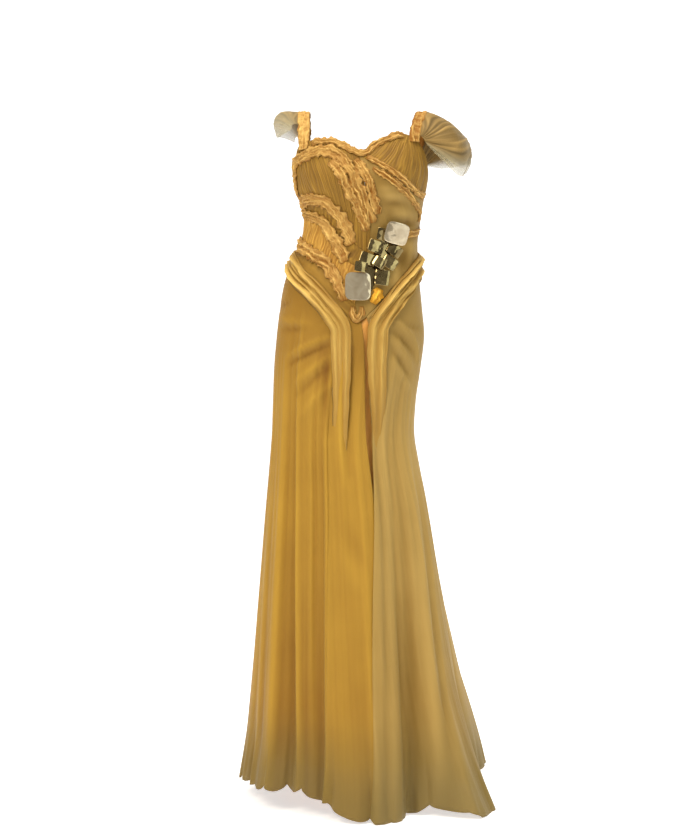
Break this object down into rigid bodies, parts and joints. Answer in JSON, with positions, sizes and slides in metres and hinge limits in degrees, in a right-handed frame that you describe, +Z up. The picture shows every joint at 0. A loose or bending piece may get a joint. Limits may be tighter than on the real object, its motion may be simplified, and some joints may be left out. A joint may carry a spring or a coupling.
{
  "type": "draped evening gown",
  "caption": "Floor-length asymmetric chiffon gown in its worn form, with pleated cups, gathered ruffles, hip swags, one draped sleeve, a mirror-plate ornament and a small train.",
  "frame": {"origin": "midway between the tops of the two shoulder straps, where the wearer's shoulders hold the gown", "axes": "+Z up along the wearer's body, -Y the way the wearer faces, +X towards the wearer's left"},
  "size_m": [0.5633, 0.6481, 1.5139],
  "materials": {
    "chiffon": "sheer silk chiffon, golden yellow, soft sheen",
    "lining": "satin lining, warm ochre",
    "ruffle": "crinkled silk, gathered, warm yellow",
    "ornament": "pale gold mirror-polished metal"
  },
  "bodies": {
    "root": {"cup_right": "chiffon", "rib_band_right": "chiffon", "waist_fan_right": "chiffon", "basque_right": "chiffon", "cup_left": "chiffon", "midriff_left": "chiffon", "bodice_back": "chiffon", "skirt_right": "chiffon", "skirt_center": "chiffon", "skirt_left": "chiffon", "underskirt": "lining", "neck_binding": "ruffle", "ruffle_cup": "ruffle", "ruffle_cup_inner": "ruffle", "ruffle_center": "ruffle", "ruffle_cross_upper": "ruffle", "ruffle_cross_lower": "ruffle", "ruffle_rib_upper": "ruffle", "ruffle_rib_lower": "ruffle", "ruffle_waist": "ruffle", "front_tuck": "ruffle", "ornament_tuft": "ruffle", "side_tuck_left": "chiffon", "hip_drape_right": "chiffon", "hip_drape_left": "chiffon", "strap_right": "ruffle", "strap_left": "ruffle", "sleeve_left": "chiffon", "cap_right": "chiffon", "ornament_bar": "ornament", "ornament_plate_01": "ornament", "ornament_plate_02": "ornament", "ornament_plate_03": "ornament", "ornament_plate_04": "ornament", "ornament_plate_05": "ornament", "ornament_plate_06": "ornament", "ornament_plate_07": "ornament", "ornament_plate_08": "ornament", "ornament_plate_09": "ornament", "ornament_plate_10": "ornament"}
  },
  "joints": []
}
